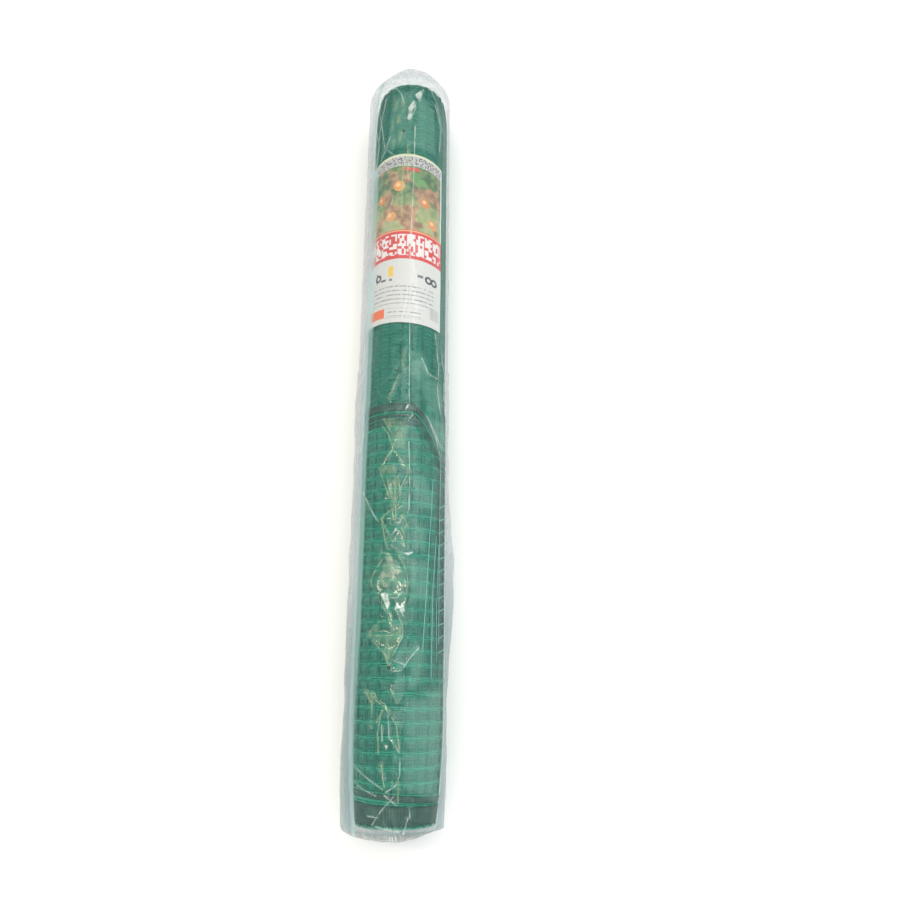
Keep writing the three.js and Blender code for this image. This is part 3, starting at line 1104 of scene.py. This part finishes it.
def flat_film(bm):
    """Turn, place and share of the full radius of each point, its turns crowded towards the top."""
    points = np.array([vert.co for vert in bm.verts])
    across = points[:, 0] - AXIS_X
    up = points[:, 2] - AXIS_Z
    turn = np.arctan2(across, up)
    turn = turn - FILM_CROWDING * np.sin(turn - FILM_CROWDED_TURN)
    turn = (turn + math.pi) % math.tau - math.pi
    place = points[:, 1] - NEAR_END
    full = film_radius(np.clip(place, 0, ROLL_LENGTH))
    on_side = (place >= 0) & (place <= ROLL_LENGTH)
    share = np.where(on_side, 1, np.clip(np.hypot(across, up) / full, 0, 1))
    return turn, place, share


def flattened(points):
    """Points of (turn in degrees, place in millimetres) on the flattened film, in metres."""
    return [(math.radians(turn) * ROLL_RADIUS, along / 1000) for turn, along in points]


def distance_to_chain(around, place, chain):
    """Distance on the flattened film from each point to a chain."""
    flat = flattened(chain)
    nearest = np.full(around.shape, 1.0)
    for (x0, y0), (x1, y1) in zip(flat, flat[1:]):
        square = (x1 - x0) ** 2 + (y1 - y0) ** 2
        share = np.clip(((around - x0) * (x1 - x0) + (place - y0) * (y1 - y0)) / square, 0, 1)
        away = np.hypot(around - x0 - share * (x1 - x0), place - y0 - share * (y1 - y0))
        nearest = np.minimum(nearest, away)
    return nearest


def distance_to_folds(around, place, folds):
    """Distance to the nearest of several folds."""
    return np.min([distance_to_chain(around, place, fold) for fold in folds], axis=0)


def facet_mask(around, place, facets, edge):
    """1 inside the facets and 0 outside, with an edge of a width. A facet's corners run anticlockwise."""
    mask = np.zeros(around.shape)
    for facet in facets:
        flat = flattened(facet)
        inside = np.full(around.shape, 1.0)
        for (x0, y0), (x1, y1) in zip(flat, flat[1:] + flat[:1]):
            cross = (x1 - x0) * (place - y0) - (y1 - y0) * (around - x0)
            inside = np.minimum(inside, cross / math.hypot(x1 - x0, y1 - y0))
        mask = np.maximum(mask, np.clip(inside / edge + 0.5, 0, 1))
    return mask


def distance_to_vents(around, place):
    """Distance on the flattened film from each point to the nearest vent's centre."""
    return np.min([np.hypot(around - x, place - y) for x, y in flattened(VENTS)], axis=0)


def refine_film(bm):
    """Divides the film finely beside its folds, painted glint patches and vents, so that they come out
    sharp.
    """
    # Here a vent's centre is a fold that is a tenth of a degree long
    vent_centres = [((turn, place), (turn + 0.1, place)) for turn, place in VENTS]
    folds = [*WARM_GLINT_FOLDS, *PALE_FOLDS, *vent_centres]
    for reach in REFINED_REACHES:
        turn, place, _ = flat_film(bm)
        around = turn * ROLL_RADIUS
        near = distance_to_folds(around, place, folds) < reach
        near |= facet_mask(around, place, PAINTED_GLINTS, SOFT_EDGE) > 0
        bm.verts.index_update()
        edges = [edge for edge in bm.edges if near[edge.verts[0].index] and near[edge.verts[1].index]]
        bmesh.ops.subdivide_edges(bm, edges=edges, cuts=1, use_grid_fill=True)
    bm.verts.index_update()


def punch_vents(bm):
    """Cuts the small vent holes."""
    turn, place, _ = flat_film(bm)
    inside = distance_to_vents(turn * ROLL_RADIUS, place) < VENT_RADIUS
    doomed = [face for face in bm.faces if any(inside[vert.index] for vert in face.verts)]
    bmesh.ops.delete(bm, geom=doomed, context="FACES")
    bm.verts.index_update()


def crumple(around, place, cell, seed):
    """1 on the lines between irregular cells of a size, and 0 inside them."""
    lines = np.zeros(around.shape)
    for i, (x, y) in enumerate(zip(around / cell[0], place / cell[1])):
        distances, _ = noise.voronoi(Vector((x, y, seed)))
        lines[i] = distances[1] - distances[0]
    return np.exp(-lines / CRUMPLE_WIDTH)


def noise_along(place, scale, seed):
    """Smooth noise along the roll, the same at every turn."""
    return np.array([noise.noise(Vector((along * scale, seed, 0))) for along in place])


def spare_film(degrees, place, wave, ripple):
    """How far the slack film stands off at the sides and under the roll."""
    pouch = RIGHT_POUCH * swelling(place - POUCH_PLACE, POUCH_LENGTH / 2)
    left = (LEFT_MARGIN + WAVE * wave + RIPPLE * ripple) * swelling(degrees - LEFT_DEGREES, SIDE_SPREAD)
    right = (RIGHT_MARGIN + pouch + RIPPLE * ripple) * swelling(degrees - RIGHT_DEGREES, SIDE_SPREAD)
    return left + right + UNDER_SLACK * swelling(degrees - UNDER_DEGREES, SIDE_SPREAD)


def pleats(turn, place, share):
    """Height and whiteness of the pleats where the ends are drawn in."""
    near_cap = np.clip(-place / NEAR_BULGE, 0, 1)
    far_cap = np.clip((place - ROLL_LENGTH) / FAR_BULGE, 0, 1)
    pleat = 0.6 * np.sin(turn * 9 + 2 * np.sin(turn * 2)) + 0.3 * np.sin(turn * 21 + 1)
    gathered = (near_cap + far_cap) * share
    white = np.clip(np.abs(pleat) * 2 - 1, 0, 1) * np.minimum(1, gathered * 2) * 0.4
    return PLEAT_HEIGHT * pleat * gathered, white


def edge_marks(turn, place, beside, wave):
    """Masks of the strip along the upper left, painted hazy as sheen where the film turns edge-on off the
    net, of the painted highlight line at its edge, and of the free margins.

    Beside is how far a point lies past the net's outline, seen from above.
    """
    upper_left = (np.sin(turn) < 0) * np.clip(np.cos(turn) / EDGE_TOP, 0, 1)
    widening = np.clip(place / EDGE_STRIP_WIDE_FROM, 0, 1) * (place < EDGE_STRIP_WIDE_TO)
    inward = beside + EDGE_STRIP + EDGE_STRIP_GAIN * widening + EDGE_STRIP_WAVE * wave
    outside = np.clip(1 - beside / EDGE_STRIP_SOFT, 0, 1)
    strip = upper_left * np.clip(inward / EDGE_STRIP_SOFT, 0, 1) * outside
    # The line at the strip's inner edge is a painted highlight
    line = upper_left * np.exp(-(inward / EDGE_LINE_WIDTH) ** 2)
    past_ends = (place < 0) | (place > ROLL_LENGTH)
    free = np.where(past_ends, 1, np.clip((beside + FREE_START) / FREE_SOFT, 0, 1))
    return strip, line, free


def shape_film(bm):
    """Pulls the plain tube into the creased bag. Returns the masks that its colours need, by name."""
    turn, place, share = flat_film(bm)
    degrees = np.degrees(turn) % 360
    around = turn * ROLL_RADIUS
    on_roll_place = np.clip(place, 0, ROLL_LENGTH)
    radius = share * film_radius(on_roll_place)
    wave = noise_along(place, 11, 4.0)
    ripple = noise_along(place, 34, 9.0)
    spare = spare_film(degrees, place, wave, ripple) * share ** 2

    # Folds and crumples, and the patches of painted highlight
    to_warm_glint = distance_to_folds(around, place, WARM_GLINT_FOLDS)
    to_pale = distance_to_folds(around, place, PALE_FOLDS)
    warm_glint_line = np.exp(-(to_warm_glint / FOLD_LINE_WIDTH) ** 2)
    pale_line = np.exp(-(to_pale / FOLD_LINE_WIDTH) ** 2)
    raised = FOLD_HEIGHT * np.exp(-np.minimum(to_warm_glint, to_pale) / FOLD_SPREAD)
    loose = 0.3 + 0.7 * swelling((degrees + 180) % 360 - 168, 55)
    coarse = crumple(around, place, COARSE_CRUMPLE, 2.5)
    fine = crumple(around, place, FINE_CRUMPLE, 7.5)
    raised += loose * (COARSE_HEIGHT * coarse + FINE_HEIGHT * fine)
    # Painted warm highlight on the patches, broken up by the fine crumple
    warm_glint_patch = facet_mask(around, place, WARM_GLINT_PATCHES, SOFT_EDGE) * (0.35 + 0.45 * fine)
    glint_patch = facet_mask(around, place, PAINTED_GLINTS, SHARP_EDGE) * (1 - 0.6 * fine)
    pleat_height, pleat_white = pleats(turn, place, share)

    # The shape, resting on the floor and lifted at the far tip
    grown = radius + spare + raised + pleat_height
    lift = FAR_PEAK_LIFT * (1 - share) ** 1.5 * (place > ROLL_LENGTH)
    height = np.maximum(grown * np.cos(turn) + lift, cad_low.z - AXIS_Z + FLOOR_LIFT)
    cut = 1 - NEAR_CUT * swelling((degrees - NEAR_CUT_TURN + 180) % 360 - 180, 60) * (place < 0)
    for vert, x, z, along in zip(bm.verts, grown * np.sin(turn), height, place * cut):
        vert.co = (AXIS_X + x, NEAR_END + along, AXIS_Z + z)

    # The masks
    beside = np.abs(grown * np.sin(turn)) - roll_radius(on_roll_place)
    strip, edge_highlight, free = edge_marks(turn, place, beside, wave)
    # The pale mask: pale folds, partly whitened film and partly painted highlight; painted glint patches;
    # whitened pleats and crumples; the painted highlight line
    pale_masks = [pale_line, 1.4 * glint_patch, pleat_white, 0.25 * loose * coarse ** 3, 0.35 * edge_highlight]
    return {
        "warm_glint": np.maximum(warm_glint_line, warm_glint_patch),
        "pale": np.maximum.reduce(pale_masks),
        # Milky: the patches of painted sheen
        "milky": facet_mask(around, place, SHEEN_PATCHES, 2 * SOFT_EDGE),
        "strip": strip,
        "free": free,
        # Painted shade round each vent, where the hole looks dark
        "vent_shade": np.clip((VENT_SHADE_REACH - distance_to_vents(around, place)) / VENT_SHADE_SOFT, 0, 1),
    }


def mix_shaders(tree, factor, first, second):
    """One Mix Shader node. The factor is a number or a socket."""
    mix = tree.nodes.new("ShaderNodeMixShader")
    if isinstance(factor, float):
        mix.inputs[0].default_value = factor
    else:
        tree.links.new(factor, mix.inputs[0])
    tree.links.new(first, mix.inputs[1])
    tree.links.new(second, mix.inputs[2])
    return mix.outputs[0]


def make_film_material():
    """Clear film: nearly all see-through, milky where it is creased or seen edge-on, and glossy, with
    painted highlights, sheen and vent shade.
    """
    material, tree, shader = new_material("clear film", 0.35)
    roll_place = add_roll_place(tree)
    flat = roll_place["Flat"]
    mark_names = ("warm_glint", "pale", "milky", "strip", "free", "vent_shade")
    warm_glint, pale, milky, strip, free, vent_shade = [add_attribute(tree, name) for name in mark_names]
    facing = tree.nodes.new("ShaderNodeLayerWeight")
    facing.inputs["Blend"].default_value = 0.35
    edge_on = add_math(tree, "POWER", facing.outputs["Facing"], 2.5)
    past_near = add_range(tree, roll_place["Along"], -0.005, -0.001, 1, 0)
    near_quarter = add_range(tree, roll_place["Along"], 0.150, 0.330, 1, 0)
    free_near = add_math(tree, "MULTIPLY", free, near_quarter)
    streaks = add_range(tree, add_noise(tree, flat, 60, 3, (2.2, 0.10, 1)), 0.38, 0.62, 0, 1)

    # How much of the film is not clear
    cloud = add_range(tree, add_noise(tree, flat, 22, 5, (1, 0.4, 1)), 0.42, 0.75, 0, 1)
    worn = add_range(tree, add_noise(tree, flat, 160, 2, (1, 0.4, 1)), 0.30, 0.62, 0.25, 1)
    lines = add_math(tree, "MULTIPLY", add_math(tree, "MAXIMUM", warm_glint, pale), worn)
    solid = add_math(tree, "MULTIPLY_ADD", edge_on, 0.10, 0.02)
    for mask, weight in (
        (cloud, 0.05),
        (milky, 0.21),
        (free, 0.22),
        (add_math(tree, "MULTIPLY", free, streaks), 0.14),
        (free_near, 0.20),
        (strip, 0.58),
        (lines, 0.75),
    ):
        solid = add_math(tree, "MULTIPLY_ADD", mask, weight, solid)
    # The painted shade round the vents makes the film there nearly opaque
    solid = add_math(tree, "MINIMUM", add_math(tree, "ADD", solid, vent_shade), 0.95)

    # Lamp light and stray light pass the film as if it were not there
    ray = tree.nodes.new("ShaderNodeLightPath")
    seen = add_math(tree, "SUBTRACT", 1.0, ray.outputs["Is Shadow Ray"])
    seen = add_math(tree, "MULTIPLY", seen, add_math(tree, "SUBTRACT", 1.0, ray.outputs["Is Diffuse Ray"]))
    solid = add_math(tree, "MULTIPLY", solid, seen)

    # Its tint, from the plain haze to the painted shade round the vents
    colour = (0.42, 0.74, 0.62)
    for mask, tint in (
        (free, (0.52, 0.56, 0.64)),
        (free_near, (0.27, 0.43, 0.45)),
        (past_near, (0.34, 0.37, 0.35)),
        # The strip's pale teal is painted sheen of the film where it turns off the net
        (strip, (0.50, 0.74, 0.76)),
        # The pale tint is partly whitened film and partly painted highlight
        (add_math(tree, "MINIMUM", pale, 1.0), (0.86, 0.92, 0.88)),
        # The warm tint is a painted highlight of the warm light
        (add_range(tree, warm_glint, 0.05, 0.60, 0, 1), (0.54, 0.64, 0.39)),
        (vent_shade, (0.006, 0.030, 0.022)),
    ):
        colour = add_colour_mix(tree, mask, colour, tint)
    tree.links.new(colour, shader.inputs["Base Color"])

    # The clear part passes light straight on, the milky part scatters it both ways, and gloss lies on top
    clear = tree.nodes.new("ShaderNodeBsdfTransparent")
    clear.inputs["Color"].default_value = (0.98, 0.99, 0.99, 1)
    through = tree.nodes.new("ShaderNodeBsdfTranslucent")
    tree.links.new(colour, through.inputs["Color"])
    gloss = tree.nodes.new("ShaderNodeBsdfAnisotropic")
    gloss.inputs["Roughness"].default_value = 0.09
    fresnel = tree.nodes.new("ShaderNodeFresnel")
    fresnel.inputs["IOR"].default_value = 1.45
    wrinkles = add_noise(tree, flat, 110, 4, (1, 0.45, 1))
    add_bump(tree, wrinkles, 0.8, 0.0008, shader, gloss, fresnel)
    geometry = tree.nodes.new("ShaderNodeNewGeometry")
    outside = add_math(tree, "SUBTRACT", 1.0, geometry.outputs["Backfacing"])
    shine = add_math(tree, "MULTIPLY", add_math(tree, "MINIMUM", fresnel.outputs[0], 0.30), outside)
    shine = add_math(tree, "MULTIPLY", shine, seen)
    haze = mix_shaders(tree, 0.45, shader.outputs[0], through.outputs[0])
    film = mix_shaders(tree, solid, clear.outputs[0], haze)
    film = mix_shaders(tree, shine, film, gloss.outputs[0])
    tree.links.new(film, tree.nodes["Material Output"].inputs["Surface"])
    return material


film_bm = make_film_tube()
refine_film(film_bm)
punch_vents(film_bm)
film_marks = shape_film(film_bm)
film_bag = finish_piece(film_bm, "clear_film_bag", [make_film_material()], "film_bag")
for mark_name, values in film_marks.items():
    film_bag.data.attributes.new(mark_name, "FLOAT", "POINT").data.foreach_set("value", values)

# The floor, the light and the camera
# A pale floor, a soft studio light from above with a warm strip along the roll, and the camera where
# the photographer stood: over the near end, looking down and a little forward.

CAMERA_HEIGHT = 0.990
CAMERA_RIGHT = 0.0621
CAMERA_PLACE = 0.1485
CAMERA_TILT = math.radians(17.0)
CAMERA_YAW = math.radians(0.34)
CAMERA_LENS = 31.36
SENSOR_WIDTH = 36
FLOOR_HALF_SIZE = 6
WORLD_STRENGTH = 0.62


def make_floor():
    """A plain square floor at z = 0."""
    bm = bmesh.new()
    bmesh.ops.create_grid(bm, x_segments=1, y_segments=1, size=FLOOR_HALF_SIZE)
    mesh = bpy.data.meshes.new("floor")
    bm.to_mesh(mesh)
    bm.free()
    material, tree, shader = new_material("pale floor", 0.75)
    shader.inputs["Base Color"].default_value = (0.95, 0.95, 0.95, 1)
    mesh.materials.append(material)
    floor = bpy.data.objects.new("floor", mesh)
    bpy.context.scene.collection.objects.link(floor)


def add_area_light(name, place, aim, width, length, power, colour, shine=1, glow=1):
    """An area light at a place, turned to face a point. Shine and glow scale its gloss and its light."""
    light = bpy.data.lights.new(name, "AREA")
    light.shape = "RECTANGLE"
    light.size = width
    light.size_y = length
    light.energy = power
    light.color = colour
    light.specular_factor = shine
    light.diffuse_factor = glow
    lamp = bpy.data.objects.new(name, light)
    lamp.location = place
    lamp.rotation_euler = (Vector(aim) - Vector(place)).to_track_quat("-Z", "Y").to_euler()
    bpy.context.scene.collection.objects.link(lamp)


make_floor()
world = bpy.data.worlds.new("studio")
world.use_nodes = True
world.node_tree.nodes["Background"].inputs["Color"].default_value = (0.95, 0.98, 1.0, 1)
world.node_tree.nodes["Background"].inputs["Strength"].default_value = WORLD_STRENGTH
bpy.context.scene.world = world
add_area_light("key", (0.45, 0.4, 2.2), (0, 0, 0), 1.8, 2.2, 27, (0.99, 1.0, 1.0), 0.2)
add_area_light("warm strip", (-0.42, 0.0, 1.45), (0, 0, 0), 0.05, 1.9, 7, (1.0, 0.84, 0.58), 2.5, 0.4)
add_area_light("right panel", (1.5, -0.1, 0.7), (0, 0, 0.05), 1.2, 1.8, 5, (0.90, 0.97, 1.0), 0.6)
add_area_light("front fill", (0.0, -1.9, 0.5), (0, -0.5, 0.0), 1.4, 0.7, 7, (1.0, 0.99, 0.96), 0.5)

camera_data = bpy.data.cameras.new("camera")
camera_data.lens = CAMERA_LENS
camera_data.sensor_width = SENSOR_WIDTH
camera = bpy.data.objects.new("camera", camera_data)
camera.location = (AXIS_X + CAMERA_RIGHT, NEAR_END + CAMERA_PLACE, AXIS_Z + CAMERA_HEIGHT)
camera.rotation_euler = (CAMERA_TILT, 0, CAMERA_YAW)
bpy.context.scene.collection.objects.link(camera)
bpy.context.scene.camera = camera
bpy.context.scene.view_settings.view_transform = "Standard"
